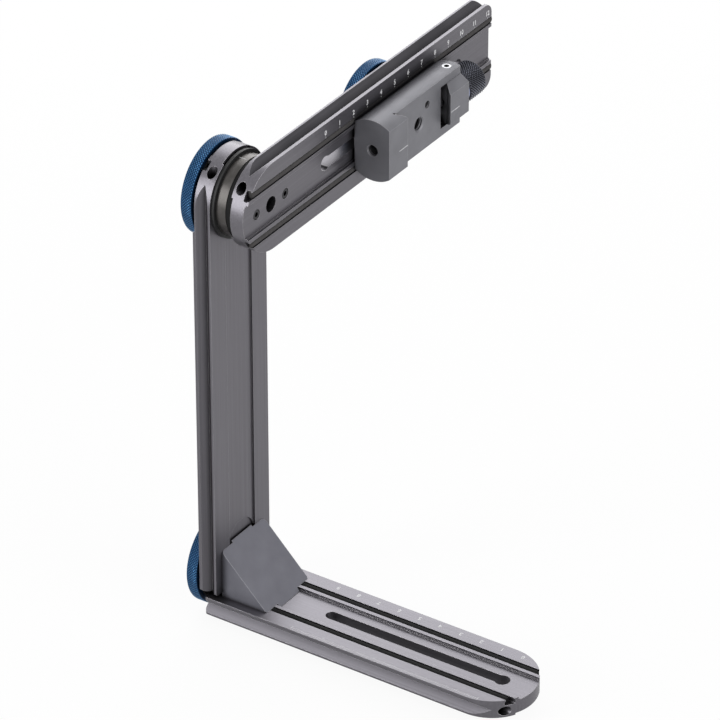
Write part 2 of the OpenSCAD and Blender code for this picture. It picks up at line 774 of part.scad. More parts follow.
module clamp_jaw() {
    color([0.42, 0.42, 0.44]) difference() {
        intersection() {
            translate([0, 0, tilt_z - jaw_half]) linear_extrude(2 * jaw_half) polygon([
                [pocket_floor_x + fit_key, jaw_root_y],
                [floor_x, jaw_root_y],
                [jaw_front_x - lip_nose, moving_lip_y],
                [jaw_front_x, moving_lip_y],
                [jaw_front_x, jaw_end_y],
                [pocket_floor_x + fit_key, jaw_end_y]
            ]);
            // Front corners beveled down to the floor
            translate([0, jaw_end_y + over, tilt_z]) rotate([90, 0, 0])
                linear_extrude(jaw_len + 2 * over) polygon([
                    [pocket_floor_x, -jaw_half - over],
                    [floor_x, -jaw_half - over],
                    [floor_x, -jaw_half],
                    [jaw_front_x, -jaw_face_half],
                    [jaw_front_x, jaw_face_half],
                    [floor_x, jaw_half],
                    [floor_x, jaw_half + over],
                    [pocket_floor_x, jaw_half + over]
                ]);
        }
        bar_y(jaw_root_y - over, jaw_end_y + over, spindle_r + fit_run);
        for (side = [-1, 1])
            bar_y(jaw_root_y - over, jaw_end_y - jaw_wall, guide_r + fit_run, clamp_axis, tilt_z + side * guide_reach);
    }
}

module jaw_ring() {
    color("lightsteelblue") translate([clamp_axis, ring_y, tilt_z]) rotate([-90, 0, 0]) difference() {
        cylinder(h = jaw_ring_t, r = jaw_ring_r);
        translate([0, 0, -over]) cylinder(h = jaw_ring_t + 2 * over, r = spindle_r);
    }
}

module jaw_spindle() {
    color("silver") difference() {
        bar_y(spindle_tip_y, jaw_knob_end_y - 2 * jaw_knob_bevel, spindle_r);
        cross_pin_hole();
    }
}

module cross_pin_hole() {
    translate([clamp_axis, (jaw_knob_y + jaw_knob_end_y) / 2, tilt_z - jaw_knob_r]) cylinder(h = 2 * jaw_knob_r, r = cross_pin_r);
}

module jaw_knob() {
    color([0.12, 0.12, 0.13]) difference() {
        translate([clamp_axis, jaw_knob_y, tilt_z]) rotate([-90, 0, 0]) rotate_extrude($fn = 96) polygon([
            [spindle_r, 0],
            [jaw_knob_r - jaw_knob_bevel, 0],
            [jaw_knob_r, jaw_knob_bevel],
            [jaw_knob_r, jaw_knob_len - jaw_knob_bevel],
            [jaw_knob_r - jaw_knob_bevel, jaw_knob_len],
            [spindle_r, jaw_knob_len]
        ]);
        cross_pin_hole();
    }
}

module jaw_knob_pin() {
    color("silver") translate([clamp_axis, (jaw_knob_y + jaw_knob_end_y) / 2, tilt_z - jaw_knob_r + jaw_knob_bevel])
        cylinder(h = 2 * (jaw_knob_r - jaw_knob_bevel), r = cross_pin_r);
}

lower_rail();
lower_strips();
foot_bracket();
bracket_screws();
upright_rail();
upright_strips();
tilt_base_ring();
base_ring_screws();
upper_rail();
upper_strips();
tilt_hub();
hub_spacer();
hub_screws();
tilt_axle();
tilt_washer();
tilt_knob();
tilt_knob_core();
tilt_knob_cap();
foot_washer();
foot_knob();
foot_knob_core();
foot_stud();
foot_knob_cap();
slide_washer();
slide_knob();
slide_knob_core();
slide_stud();
slide_knob_cap();
clamp_body();
jaw_guide_pins();
jaw_set_screw();
clamp_jaw();
jaw_ring();
jaw_spindle();
jaw_knob();
jaw_knob_pin();
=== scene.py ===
import bpy
import numpy as np
from mathutils import Matrix, Vector


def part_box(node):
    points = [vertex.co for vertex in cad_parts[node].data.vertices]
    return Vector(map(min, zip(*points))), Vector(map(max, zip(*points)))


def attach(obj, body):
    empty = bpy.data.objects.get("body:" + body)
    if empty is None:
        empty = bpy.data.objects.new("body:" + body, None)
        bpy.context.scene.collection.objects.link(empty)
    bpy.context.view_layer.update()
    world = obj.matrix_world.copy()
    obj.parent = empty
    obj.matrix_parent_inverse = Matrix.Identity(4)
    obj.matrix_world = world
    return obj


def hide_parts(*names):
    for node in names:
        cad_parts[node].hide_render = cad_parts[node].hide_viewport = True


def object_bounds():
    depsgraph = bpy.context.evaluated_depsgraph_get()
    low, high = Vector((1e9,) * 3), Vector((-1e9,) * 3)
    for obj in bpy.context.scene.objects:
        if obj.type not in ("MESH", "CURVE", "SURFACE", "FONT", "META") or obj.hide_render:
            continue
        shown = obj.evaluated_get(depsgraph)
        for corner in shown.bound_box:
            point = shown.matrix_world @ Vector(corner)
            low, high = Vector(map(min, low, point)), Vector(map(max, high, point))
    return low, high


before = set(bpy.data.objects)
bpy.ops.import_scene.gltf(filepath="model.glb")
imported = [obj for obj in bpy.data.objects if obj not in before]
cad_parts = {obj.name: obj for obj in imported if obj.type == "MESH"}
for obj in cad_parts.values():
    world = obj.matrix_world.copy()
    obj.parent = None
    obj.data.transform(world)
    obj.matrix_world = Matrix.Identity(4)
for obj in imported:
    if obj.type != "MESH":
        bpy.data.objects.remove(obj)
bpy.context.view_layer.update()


# The two straight rails and the upright are one aluminium extrusion, sawn to length, milled at the
# round ends and anodised titanium grey. The die leaves faint lines along each bar, and the broken
# edges catch the light as a thin line.
MM = 0.001
X, Y, Z = 0, 1, 2
PATTERN_LOW, PATTERN_HIGH = 0.25, 0.75  # nearly all of a noise pattern lies between these values


def paint(code):
    """sRGB hex colour turned to linear RGBA."""
    srgb = np.array([int(code[i : i + 2], 16) for i in (1, 3, 5)]) / 255
    linear = np.where(srgb <= 0.04045, srgb / 12.92, ((srgb + 0.055) / 1.055) ** 2.4)
    return (*map(float, linear), 1.0)


def add_node(tree, kind, inputs, **settings):
    """Adds a node, sets its settings, and gives each named input a value or a link."""
    made = tree.nodes.new(kind)
    for key, value in settings.items():
        setattr(made, key, value)
    for key, value in inputs.items():
        if isinstance(value, bpy.types.NodeSocket):
            tree.links.new(value, made.inputs[key])
        else:
            made.inputs[key].default_value = value
    return made


def start_finish(name):
    """A material with its shader, and Object coordinates in millimetres for its patterns."""
    made = bpy.data.materials.new(name)
    made.use_nodes = True
    tree = made.node_tree
    shader = tree.nodes["Principled BSDF"]
    place = add_node(tree, "ShaderNodeTexCoord", {})
    grid = add_node(
        tree, "ShaderNodeMapping", {"Vector": place.outputs["Object"], "Scale": (1 / MM,) * 3}
    )
    return made, tree, shader, grid.outputs["Vector"]


def mottle(tree, pattern, low, high, share=1.0):
    """Mixes up to a share of the high colour into the low one where a pattern is high."""
    spread = add_node(
        tree,
        "ShaderNodeMapRange",
        {"Value": pattern, "From Min": PATTERN_LOW, "From Max": PATTERN_HIGH, "To Max": share},
    )
    mixed = add_node(
        tree, "ShaderNodeMix", {0: spread.outputs["Result"], 6: low, 7: high}, data_type="RGBA"
    )
    return mixed.outputs[2]


def edge_wear(tree, colour, radius, share, highlight_colour):
    """Rounds the shading over sharp edges by a radius in mm, and paints a highlight there: a share
    of a pale colour shows where that turns the surface, from 11 degrees on and in full at 32
    degrees."""
    starts, full = 0.98, 0.85  # the cosines of these angles
    edge = add_node(tree, "ShaderNodeBevel", {"Radius": radius * MM}, samples=8)
    facing = add_node(tree, "ShaderNodeNewGeometry", {})
    turn = add_node(
        tree,
        "ShaderNodeVectorMath",
        {0: edge.outputs["Normal"], 1: facing.outputs["Normal"]},
        operation="DOT_PRODUCT",
    )
    highlight_share = add_node(
        tree,
        "ShaderNodeMapRange",
        {"Value": turn.outputs["Value"], "From Min": starts, "From Max": full, "To Max": share},
    )
    painted_highlight = add_node(
        tree,
        "ShaderNodeMix",
        {0: highlight_share.outputs["Result"], 6: colour, 7: paint(highlight_colour)},
        data_type="RGBA",
    )
    return painted_highlight.outputs[2], edge.outputs["Normal"]


def dark_hollows(tree, colour, reach, open_share, shut_share):
    """Paints shade into slots, bores, inner corners and the lines where two pieces meet, where
    little light reaches. It begins where less than open_share of the sky within reach (in mm) is
    free, and is full at shut_share."""
    hollow = add_node(tree, "ShaderNodeAmbientOcclusion", {"Distance": reach * MM}, samples=16)
    buried = add_node(
        tree,
        "ShaderNodeMapRange",
        {"Value": hollow.outputs["AO"], "From Min": open_share, "From Max": shut_share},
    )
    with_painted_shade = add_node(
        tree,
        "ShaderNodeMix",
        {0: buried.outputs["Result"], 6: colour, 7: paint("#121114")},
        data_type="RGBA",
    )
    return with_painted_shade.outputs[2]


def lay_finish(tree, shader, colour, relief, pattern, shiny, dull):
    """Gives the shader its colour, its relief, and a roughness that goes from shiny to dull where
    a pattern goes from low to high."""
    rough = add_node(
        tree,
        "ShaderNodeMapRange",
        {
            "Value": pattern,
            "From Min": PATTERN_LOW,
            "From Max": PATTERN_HIGH,
            "To Min": shiny,
            "To Max": dull,
        },
    )
    tree.links.new(colour, shader.inputs["Base Color"])
    tree.links.new(rough.outputs["Result"], shader.inputs["Roughness"])
    tree.links.new(relief.outputs["Normal"], shader.inputs["Normal"])


def anodised_extrusion(name, along, through, flank_low, flank_high):
    """Anodised aluminium drawn through a die along one axis, with its thickness through another:
    streaks 0.8 mm apart and 130 mm long, a mill bloom 25 mm wide, and grit of 0.2 mm, coarser than
    the real so that it shows. The dovetail's flanks lean 45 degrees and get painted shade: tones of
    their own, darkest where they face down or back."""
    made, tree, shader, grid = start_finish(name)
    streaks_per_mm, blooms_per_mm, grit_per_mm = 1.3, 0.04, 5.0
    width_over_length = 0.006
    stretch = [1.0, 1.0, 1.0]
    stretch[along] = width_over_length
    drawn = add_node(tree, "ShaderNodeMapping", {"Vector": grid, "Scale": stretch})
    streaks = add_node(
        tree,
        "ShaderNodeTexNoise",
        {
            "Vector": drawn.outputs["Vector"],
            "Scale": streaks_per_mm,
            "Detail": 5.0,
            "Roughness": 0.75,
        },
    )
    bloom = add_node(
        tree, "ShaderNodeTexNoise", {"Vector": grid, "Scale": blooms_per_mm, "Detail": 2.0}
    )
    grit = add_node(
        tree, "ShaderNodeTexNoise", {"Vector": grid, "Scale": grit_per_mm, "Detail": 3.0}
    )
    flat = mottle(tree, streaks.outputs["Fac"], paint("#5b595e"), paint("#737177"))
    # The flanks' own tone is painted shade
    shaded_flank_tone = mottle(tree, streaks.outputs["Fac"], paint(flank_low), paint(flank_high))

    # Painted shade: the flanks that face down or back are painted darker than those that face up or
    # forward
    place = add_node(tree, "ShaderNodeTexCoord", {})
    facing = add_node(tree, "ShaderNodeSeparateXYZ", {"Vector": place.outputs["Normal"]})
    back = add_node(
        tree,
        "ShaderNodeMapRange",
        {"Value": facing.outputs[through], "From Min": 0.1, "From Max": -0.1},
    )
    flanks = add_node(
        tree,
        "ShaderNodeMix",
        {0: back.outputs["Result"], 6: shaded_flank_tone, 7: paint("#2c2b2e")},
        data_type="RGBA",
    )

    # A face is a flank where the normal's part through the bar is within 0.06 of the cosine of 45
    # degrees, and it isn't one beyond 0.10
    cos_45, surely, hardly = 0.7071, 0.06, 0.10
    lean = add_node(tree, "ShaderNodeMath", {0: facing.outputs[through]}, operation="ABSOLUTE")
    off = add_node(
        tree, "ShaderNodeMath", {0: lean.outputs["Value"], 1: cos_45}, operation="SUBTRACT"
    )
    away = add_node(tree, "ShaderNodeMath", {0: off.outputs["Value"]}, operation="ABSOLUTE")
    on_flank = add_node(
        tree,
        "ShaderNodeMapRange",
        {"Value": away.outputs["Value"], "From Min": hardly, "From Max": surely},
    )
    tone = add_node(
        tree,
        "ShaderNodeMix",
        {0: on_flank.outputs["Result"], 6: flat, 7: flanks.outputs[2]},
        data_type="RGBA",
    )
    cast = mottle(tree, bloom.outputs["Fac"], tone.outputs[2], paint("#6c6a6f"), share=0.25)
    # Painted highlight: a pale colour along the broken edges
    painted_highlight, rounded = edge_wear(tree, cast, radius=0.15, share=0.75, highlight_colour="#cbc8cc")
    lines = add_node(
        tree,
        "ShaderNodeBump",
        {
            "Height": streaks.outputs["Fac"],
            "Strength": 0.12,
            "Distance": 0.02 * MM,
            "Normal": rounded,
        },
    )
    relief = add_node(
        tree,
        "ShaderNodeBump",
        {
            "Height": grit.outputs["Fac"],
            "Strength": 0.10,
            "Distance": 0.01 * MM,
            "Normal": lines.outputs["Normal"],
        },
    )
    # Painted shade in the grooves, slots and recesses, and where other parts meet the rail
    with_painted_shade = dark_hollows(tree, painted_highlight, reach=8.0, open_share=0.75, shut_share=0.15)
    lay_finish(tree, shader, with_painted_shade, relief, streaks.outputs["Fac"], shiny=0.30, dull=0.40)
    shader.inputs["Metallic"].default_value = 0.8
    return made


def dress(node, finish):
    """Gives a CAD node its finish in place of the plain one it was packed with."""
    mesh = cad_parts[node].data
    mesh.materials.clear()
    mesh.materials.append(finish)


dress("lower_rail", anodised_extrusion("Anodised_extrusion_lower", X, Z, "#5b595e", "#737177"))
dress("upper_rail", anodised_extrusion("Anodised_extrusion_upper", Y, X, "#333236", "#48474b"))
dress("upright_rail", anodised_extrusion("Anodised_extrusion_upright", Z, X, "#565459", "#6a686d"))


# Rubber strips are pressed into the two grooves of each rail, so that a plate or a knob bears
# on them and doesn't slip. Moulded rubber is matt. Below it is black, and above it is a lighter
# grey.
def moulded_rubber(name, low, high):
    """Moulded rubber: matt, with scuffed patches 3 mm wide, a moulded grain of 0.2 mm, coarser than
    the real so that it shows, and painted shade along its edges, where the groove's lips shade it."""
    made, tree, shader, grid = start_finish(name)
    patches_per_mm, grain_per_mm = 0.35, 6.0
    rub = add_node(
        tree, "ShaderNodeTexNoise", {"Vector": grid, "Scale": patches_per_mm, "Detail": 4.0}
    )
    grain = add_node(
        tree, "ShaderNodeTexNoise", {"Vector": grid, "Scale": grain_per_mm, "Detail": 2.0}
    )
    tone = mottle(tree, rub.outputs["Fac"], paint(low), paint(high))
    relief = add_node(
        tree,
        "ShaderNodeBump",
        {"Height": grain.outputs["Fac"], "Strength": 0.25, "Distance": 0.02 * MM},
    )
    # Painted shade along the strip's edges, under the groove's lips
    edges_painted_shade = dark_hollows(tree, tone, reach=1.5, open_share=0.95, shut_share=0.60)
    lay_finish(tree, shader, edges_painted_shade, relief, rub.outputs["Fac"], shiny=0.62, dull=0.75)
    shader.inputs["Specular IOR Level"].default_value = 0.1
    return made


dress("lower_strips", moulded_rubber("Moulded_black_rubber", "#090909", "#121213"))
lighter_grey_rubber = moulded_rubber("Lighter_grey_rubber", "#3b3a3a", "#494747")
dress("upright_strips", lighter_grey_rubber)
dress("upper_strips", lighter_grey_rubber)


# The foot bracket joins the lower rail and the upright. Like the camera clamp and its jaw it is
# milled from bar, bead blasted and anodised, so it is matt and even, with a soft painted
# highlight on its edges.
def blasted_anodised(name, low, high):
    """Bead-blasted and anodised aluminium: clouds 8 mm wide, a grain of 0.3 mm, coarser than the
    real so that it shows, soft edges with a painted highlight, and painted shade in its hollows."""
    made, tree, shader, grid = start_finish(name)
    clouds_per_mm, beads_per_mm = 0.12, 3.2
    cloud = add_node(
        tree, "ShaderNodeTexNoise", {"Vector": grid, "Scale": clouds_per_mm, "Detail": 3.0}
    )
    beads = add_node(
        tree,
        "ShaderNodeTexNoise",
        {"Vector": grid, "Scale": beads_per_mm, "Detail": 3.0, "Roughness": 0.6},
    )
    tone = mottle(tree, cloud.outputs["Fac"], paint(low), paint(high))
    # Painted highlight: a pale colour along the edges
    painted_highlight, rounded = edge_wear(tree, tone, radius=0.3, share=0.7, highlight_colour="#b0aeb1")
    relief = add_node(
        tree,
        "ShaderNodeBump",
        {
            "Height": beads.outputs["Fac"],
            "Strength": 0.2,
            "Distance": 0.03 * MM,
            "Normal": rounded,
        },
    )
    # Painted shade in pockets, holes and where parts meet
    with_painted_shade = dark_hollows(tree, painted_highlight, reach=5.0, open_share=0.70, shut_share=0.45)
    lay_finish(tree, shader, with_painted_shade, relief, beads.outputs["Fac"], shiny=0.46, dull=0.54)
    shader.inputs["Metallic"].default_value = 0.5
    return made


dress("foot_bracket", blasted_anodised("Blasted_anodised_bracket", "#65656d", "#6f6f77"))


# Screws, studs, pins and the axle are plain turned steel, which shows fine lathe marks and a cool
# grey shine. The screws that hold the bracket, the base ring and the hub are blackened.
def turned_steel(name, low, high):
    """Turned steel: lathe marks as noise of 0.25 mm, coarser than the real so that they show,
    slightly uneven shine, edges broken by 0.15 mm, and painted shade in its sockets."""
    made, tree, shader, grid = start_finish(name)
    marks_per_mm, broken_edge = 4.0, 0.15 * MM
    marks = add_node(
        tree, "ShaderNodeTexNoise", {"Vector": grid, "Scale": marks_per_mm, "Detail": 3.0}
    )
    tone = mottle(tree, marks.outputs["Fac"], paint(low), paint(high))
    edge = add_node(tree, "ShaderNodeBevel", {"Radius": broken_edge}, samples=6)
    relief = add_node(
        tree,
        "ShaderNodeBump",
        {
            "Height": marks.outputs["Fac"],
            "Strength": 0.1,
            "Distance": 0.01 * MM,
            "Normal": edge.outputs["Normal"],
        },
    )
    # Painted shade in sockets and recesses
    with_painted_shade = dark_hollows(tree, tone, reach=3.0, open_share=0.70, shut_share=0.30)
    lay_finish(tree, shader, with_painted_shade, relief, marks.outputs["Fac"], shiny=0.26, dull=0.36)
    shader.inputs["Metallic"].default_value = 1.0
    return made


steel = turned_steel("Turned_steel", "#8d8e91", "#a9aaad")
for node in (
    "tilt_axle",
    "foot_stud",
    "slide_stud",
    "jaw_guide_pins",
    "jaw_set_screw",
    "jaw_spindle",
    "jaw_knob_pin",
):
    dress(node, steel)

blackened = turned_steel("Blackened_steel", "#313133", "#3f3f42")
for node in ("bracket_screws", "base_ring_screws", "hub_screws"):
    dress(node, blackened)


# The tilt bearing is a stack of turned rings about the axle: a black anodised base ring, and a
# brown-grey hard anodised hub that carries the upper rail and turns with it.
hub_low, hub_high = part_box("tilt_hub")
tilt_z = (hub_low.z + hub_high.z) / 2
hub_r = (hub_high.z - hub_low.z) / 2


def turned_anodised(name, low, high, rough, metal):
    """Turned and anodised aluminium: clouds 3 mm wide, and lathe rings 0.7 mm apart about the tilt
    axis along X, coarser than the real so that they show."""
    made, tree, shader, grid = start_finish(name)
    ring_scale = 0.45  # a wave of this node repeats each 0.314 mm over its scale
    clouds_per_mm, broken_edge = 0.3, 0.2 * MM
    centred = add_node(
        tree, "ShaderNodeMapping", {"Vector": grid, "Location": (0.0, 0.0, -tilt_z / MM)}
    )
    rings = add_node(
        tree,
        "ShaderNodeTexWave",
        {
            "Vector": centred.outputs["Vector"],
            "Scale": ring_scale,
            "Distortion": 0.6,
            "Detail": 2.0,
        },
        wave_type="RINGS",
        rings_direction="X",
    )
    cloud = add_node(
        tree, "ShaderNodeTexNoise", {"Vector": grid, "Scale": clouds_per_mm, "Detail": 4.0}
    )
    tone = mottle(tree, cloud.outputs["Fac"], paint(low), paint(high))
    edge = add_node(tree, "ShaderNodeBevel", {"Radius": broken_edge}, samples=6)
    relief = add_node(
        tree,
        "ShaderNodeBump",
        {
            "Height": rings.outputs["Fac"],
            "Strength": 0.12,
            "Distance": 0.02 * MM,
            "Normal": edge.outputs["Normal"],
        },
    )
    pattern = cloud.outputs["Fac"]
    lay_finish(tree, shader, tone, relief, pattern, shiny=rough - 0.04, dull=rough + 0.05)
    shader.inputs["Metallic"].default_value = metal
    return made


dress(
    "tilt_base_ring",
    turned_anodised("Turned_black_anodised", "#0c0c0d", "#131314", rough=0.6, metal=0.0),
)
dress(
    "tilt_hub",
    turned_anodised("Turned_brown_grey_anodised", "#42403e", "#545150", rough=0.36, metal=0.7),
)


# The hub's spacer and the washer under each large knob are moulded from a black polymer that slides
# on metal. The rubbing keeps it matt.
def moulded_black(name, low, high, rough, gloss):
    """Moulded black polymer: handling marks 8 mm wide, a grain of 0.25 mm, coarser than the real
    so that it shows, and gloss for its shine."""
    made, tree, shader, grid = start_finish(name)
    marks_per_mm, grain_per_mm, soft_edge = 0.12, 4.0, 0.2 * MM
    marks = add_node(
        tree, "ShaderNodeTexNoise", {"Vector": grid, "Scale": marks_per_mm, "Detail": 4.0}
    )
    grain = add_node(
        tree, "ShaderNodeTexNoise", {"Vector": grid, "Scale": grain_per_mm, "Detail": 2.0}
    )
    tone = mottle(tree, marks.outputs["Fac"], paint(low), paint(high))
    edge = add_node(tree, "ShaderNodeBevel", {"Radius": soft_edge}, samples=6)
    relief = add_node(
        tree,
        "ShaderNodeBump",
        {
            "Height": grain.outputs["Fac"],
            "Strength": 0.15,
            "Distance": 0.02 * MM,
            "Normal": edge.outputs["Normal"],
        },
    )
    pattern = marks.outputs["Fac"]
    lay_finish(tree, shader, tone, relief, pattern, shiny=rough - 0.05, dull=rough + 0.05)
    shader.inputs["Specular IOR Level"].default_value = gloss
    return made


washer_polymer = moulded_black(
    "Sliding_black_polymer", "#0b0b0c", "#121213", rough=0.6, gloss=0.15
)
for node in ("hub_spacer", "tilt_washer", "foot_washer", "slide_washer"):
    dress(node, washer_polymer)


# The three large lock knobs are blue anodised grips, turned and rolled with a fine diamond knurl
# over the whole rim, on a black moulded core with a black cap.
def anodised_knurl(name, low, high, rough, crest):
    """Knurled and anodised aluminium: the rolled peaks are painted lighter, a painted highlight on
    each peak. The peak's height to the power of crest, times clouds 4 mm wide, picks the colour."""
    made, tree, shader, grid = start_finish(name)
    clouds_per_mm, grain_per_mm = 0.25, 5.0
    cloud = add_node(
        tree, "ShaderNodeTexNoise", {"Vector": grid, "Scale": clouds_per_mm, "Detail": 4.0}
    )
    height = add_node(tree, "ShaderNodeAttribute", {}, attribute_name="knurl_peak")
    peak = add_node(
        tree, "ShaderNodeMath", {0: height.outputs["Fac"], 1: crest}, operation="POWER"
    )
    painted_highlight = add_node(
        tree,
        "ShaderNodeMapRange",
        {
            "Value": cloud.outputs["Fac"],
            "From Min": PATTERN_LOW,
            "From Max": PATTERN_HIGH,
            "To Min": 0.6,
            "To Max": 1.0,
        },
    )
    # Painted highlight: the peaks take the lighter colour
    lit = add_node(
        tree,
        "ShaderNodeMath",
        {0: peak.outputs["Value"], 1: painted_highlight.outputs["Result"]},
        operation="MULTIPLY",
    )
    tone = add_node(
        tree,
        "ShaderNodeMix",
        {0: lit.outputs["Value"], 6: paint(low), 7: paint(high)},
        data_type="RGBA",
    )
    grain = add_node(
        tree, "ShaderNodeTexNoise", {"Vector": grid, "Scale": grain_per_mm, "Detail": 2.0}
    )
    relief = add_node(
        tree,
        "ShaderNodeBump",
        {"Height": grain.outputs["Fac"], "Strength": 0.1, "Distance": 0.01 * MM},
    )
    lay_finish(
        tree,
        shader,
        tone.outputs[2],
        relief,
        cloud.outputs["Fac"],
        shiny=rough - 0.04,
        dull=rough + 0.05,
    )
    shader.inputs["Metallic"].default_value = 0.85
    return made


def turned_shell(name, r, height, to_frame):
    """A closed profile carried round an axis: r gives the radius for each profile point and each
    angle, and height the profile points' places along the axis."""
    rows, cols = r.shape
    angle = 2 * np.pi * np.arange(cols) / cols
    along = np.broadcast_to(height[:, None], r.shape)
    points = np.stack([r * np.cos(angle), r * np.sin(angle), along], -1).reshape(-1, 3)
    row, col = np.meshgrid(np.arange(rows), np.arange(cols), indexing="ij")
    next_row, next_col = (row + 1) % rows, (col + 1) % cols
    faces = np.stack(
        [
            row * cols + col,
            row * cols + next_col,
            next_row * cols + next_col,
            next_row * cols + col,
        ],
        -1,
    ).reshape(-1, 4)
    placed = points @ np.array(to_frame.to_3x3()).T + np.array(to_frame.translation)
    mesh = bpy.data.meshes.new(name)
    mesh.from_pydata(placed.tolist(), [], faces.tolist())
    mesh.update()
    made = bpy.data.objects.new(name, mesh)
    bpy.context.scene.collection.objects.link(made)
    return made


def knurled_ring(name, inner, rim, outer, to_frame, edge_share, teeth, depth):
    """A turned shell with a rolled rim. Its section runs from the inner points over the rim, given
    by its radius and the heights along it, to the outer points, all in mm. Its radius drops by the
    depth times the larger of two triangle waves that lean 45 degrees each way, which leaves
    four-sided pyramids. The points beside the rim take a share of it, and the others none."""
    rim_r, rim_heights = rim
    band = np.column_stack([np.full(len(rim_heights), rim_r), rim_heights])
    radius, height = (np.concatenate([inner, band, outer]) * MM).T
    rolled = np.concatenate([np.zeros(len(inner)), np.ones(len(band)), np.zeros(len(outer))])
    rolled[[len(inner) - 1, len(inner) + len(band)]] = edge_share
    share = rolled[:, None]
    steps = 6 * teeth
    turns = np.arange(steps) / steps
    climb = height[:, None] / (2 * np.pi * radius.max())
    lines = [np.abs(2 * (teeth * (turns + way * climb) % 1.0) - 1) for way in (1, -1)]
    groove = np.maximum(*lines)
    made = turned_shell(name, radius[:, None] - depth * MM * groove * share, height, to_frame)
    off_rim = 0.25  # the colour of the plain parts, as a peak's height
    peak = made.data.attributes.new("knurl_peak", "FLOAT", "POINT")
    level = (1 - groove) * share + off_rim * (1 - share)
    peak.data.foreach_set("value", level.ravel().astype(np.float32))
    return made


knob_blue = anodised_knurl(
    "Blue_anodised_diamond_knurl", "#0b2a4e", "#66a4d4", rough=0.34, crest=2.0
)
core_black = moulded_black("Moulded_black_core", "#1a1a1c", "#232325", rough=0.45, gloss=0.5)

# A grip's section in mm: a skirt round the core from face to end, closed by a disc from web to end
core_r, skirt_mid, disc_mid, boss_r, rim_r, chamfer = 17.0, 18.6, 14.0, 7.0, 20.7, 0.3
face, web, end = 0.9, 4.1, 5.9
grip_inner = [(core_r, face), (skirt_mid, face), (rim_r - chamfer, face)]
grip_rim = rim_r, np.linspace(face + chamfer, end - chamfer, 30)
grip_outer = [
    (rim_r - chamfer, end),
    (disc_mid, end),
    (boss_r, end),
    (boss_r, web),
    (core_r, web),
]
to_back = Matrix(((0, 0, -1), (0, 1, 0), (1, 0, 0))).to_4x4()  # turns Z to -X
for lock in ("tilt", "foot", "slide"):
    node, body = lock + "_knob", lock + "_lock"
    knob_low, knob_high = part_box(node)
    centre = (knob_low + knob_high) / 2
    centre.x = knob_high.x + face * MM
    at_knob = Matrix.Translation(centre) @ to_back
    grip = knurled_ring(
        node + "_knurled",
        grip_inner,
        grip_rim,
        grip_outer,
        at_knob,
        edge_share=0.3,
        teeth=104,
        depth=0.32,
    )
    grip.data.materials.append(knob_blue)
    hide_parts(node)
    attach(grip, body)
    dress(node + "_core", core_black)
    dress(node + "_cap", core_black)


# The camera clamp is a round bar with a flat floor, and its far jaw slides in a pocket. Both are
# milled, blasted and anodised a little lighter than the bracket. A pale blue turned ring marks the
# jaw's set screw.
clamp_grey = blasted_anodised("Blasted_anodised_clamp", "#6d6d72", "#77777c")
dress("clamp_body", clamp_grey)
dress("clamp_jaw", clamp_grey)
dress(
    "jaw_ring",
    turned_anodised("Turned_pale_blue_anodised", "#8f95b0", "#a4aac2", rough=0.3, metal=0.7),
)


# The clamp's end hole, its centre hole and its small hole are tapped, which shows as a ridge that
# climbs round the bore. Each thread starts a little below its mouth.
def tapped_thread(name, mouth, turned, bore, pitch, length):
    """A sleeve let into the bore's wall, in mm. Its inner radius is 0.05 over the bore's, less 0.4
    times a triangle wave of length over pitch minus the turn, so the ridge climbs as a helix, and
    it fades out at both ends."""
    let_in, crest, ridge, fade_share = 0.15, 0.05, 0.4, 0.6
    turn_steps, pitch_steps = 64, 12
    turns = np.arange(turn_steps) / turn_steps
    inner = np.linspace(length, 0.0, int(length / pitch * pitch_steps) + 1)
    wave = np.abs(2 * ((inner[:, None] / pitch - turns) % 1.0) - 1)
    fade = np.clip(np.minimum(inner, length - inner) / (fade_share * pitch), 0.0, 1.0)[:, None]
    wall = np.full((2, turn_steps), bore + let_in)
    r = np.concatenate([wall, bore + crest - ridge * wave * fade])
    height = np.concatenate([[0.0, length], inner])
    made = turned_shell(name, r * MM, height * MM, Matrix.Translation(mouth) @ turned)
    made.data.materials.append(clamp_grey)
    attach(made, "clamp")


# The clamp's middle along the rail, its bar's axis, its flat floor and the small hole's place
body_low, body_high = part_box("clamp_body")
rail_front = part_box("upper_rail")[1].x
clamp_y = 85.7 * MM
axis_x, floor_x = rail_front + 8.6 * MM, rail_front + 12.6 * MM
small_y, small_z = clamp_y + 6.0 * MM, tilt_z + 6.5 * MM
below = 0.3 * MM
to_far = Matrix(((1, 0, 0), (0, 0, 1), (0, -1, 0))).to_4x4()  # turns Z to +Y
end_mouth = (axis_x, body_low.y + below, tilt_z)
centre_mouth = (floor_x - below, clamp_y, tilt_z)
small_mouth = (floor_x - below, small_y, small_z)
tapped_thread("end_hole_thread", end_mouth, to_far, bore=2.6, pitch=1.0, length=11.0)
tapped_thread("centre_hole_thread", centre_mouth, to_back, bore=3.05, pitch=1.0, length=2.5)
tapped_thread("small_hole_thread", small_mouth, to_back, bore=1.7, pitch=0.7, length=5.4)


